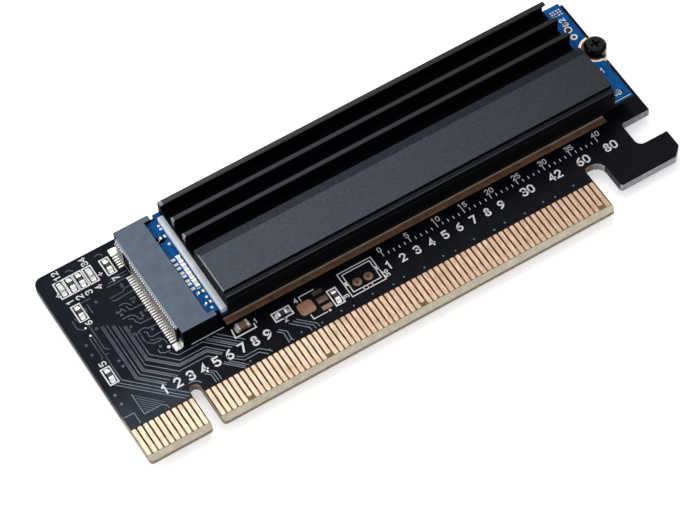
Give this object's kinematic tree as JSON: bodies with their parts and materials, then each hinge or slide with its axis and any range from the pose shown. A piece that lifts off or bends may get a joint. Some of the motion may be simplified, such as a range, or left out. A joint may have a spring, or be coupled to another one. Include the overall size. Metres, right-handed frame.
{
  "type": "nvme_adapter_card",
  "caption": "Black adapter card that carries an NVMe M.2 drive under a finned black heat sink and plugs into a PCI Express x16 slot; screw, chip lights and bare edge contacts",
  "frame": {"origin": "on the back face of the board, at the middle of the key notch and the tip of the edge tongue", "axes": "+X along the edge contacts to the retention hook, +Y from the contacts' tip to the top edge, +Z out of the component side"},
  "size_m": [0.0996, 0.0384, 0.0107],
  "materials": {
    "solder_mask": "semi-gloss black solder mask over glass-epoxy",
    "bare_copper": "bare tinned copper, brownish",
    "gold_plating": "pale gold plating",
    "tinned_metal": "bright tinned metal",
    "socket_plastic": "matt slate-grey moulded plastic",
    "spring_metal": "pale plated spring metal",
    "drive_mask": "semi-gloss blue solder mask",
    "chip_plastic": "matt black chip moulding",
    "ceramic": "dark chip-part ceramic with bright ends",
    "pale_ceramic": "pale chip-part ceramic with bright ends",
    "led_lens": "clear chip light",
    "pad_rubber": "soft white thermal sheet",
    "black_anodised": "black anodised extrusion, fine grain",
    "dark_steel": "black finished steel"
  },
  "bodies": {
    "root": {"adapter_board": "solder_mask", "edge_contacts_back": "gold_plating", "edge_contacts_front": "gold_plating", "header_hole_rings": "tinned_metal", "heat_sink": "black_anodised", "light_resistors": "ceramic", "signal_resistors": "ceramic", "socket_housing": "socket_plastic", "socket_lower_contacts": "spring_metal", "socket_solder_tabs": "tinned_metal", "socket_upper_contacts": "spring_metal", "spare_hole_rings": "tinned_metal", "ssd_board": "drive_mask", "ssd_cache_chip": "chip_plastic", "ssd_capacitors": "pale_ceramic", "ssd_controller": "chip_plastic", "ssd_lower_contacts": "gold_plating", "ssd_memory_chips": "chip_plastic", "ssd_resistors": "ceramic", "ssd_screw": "dark_steel", "ssd_screw_rings": "tinned_metal", "ssd_upper_contacts": "gold_plating", "standoff": "dark_steel", "standoff_nut": "tinned_metal", "status_lights": "led_lens", "supply_capacitor": "pale_ceramic", "supply_resistors": "ceramic", "thermal_copper": "bare_copper", "thermal_pad": "pad_rubber", "unfitted_pads": "bare_copper", "used_hole_rings": "tinned_metal"}
  },
  "joints": []
}
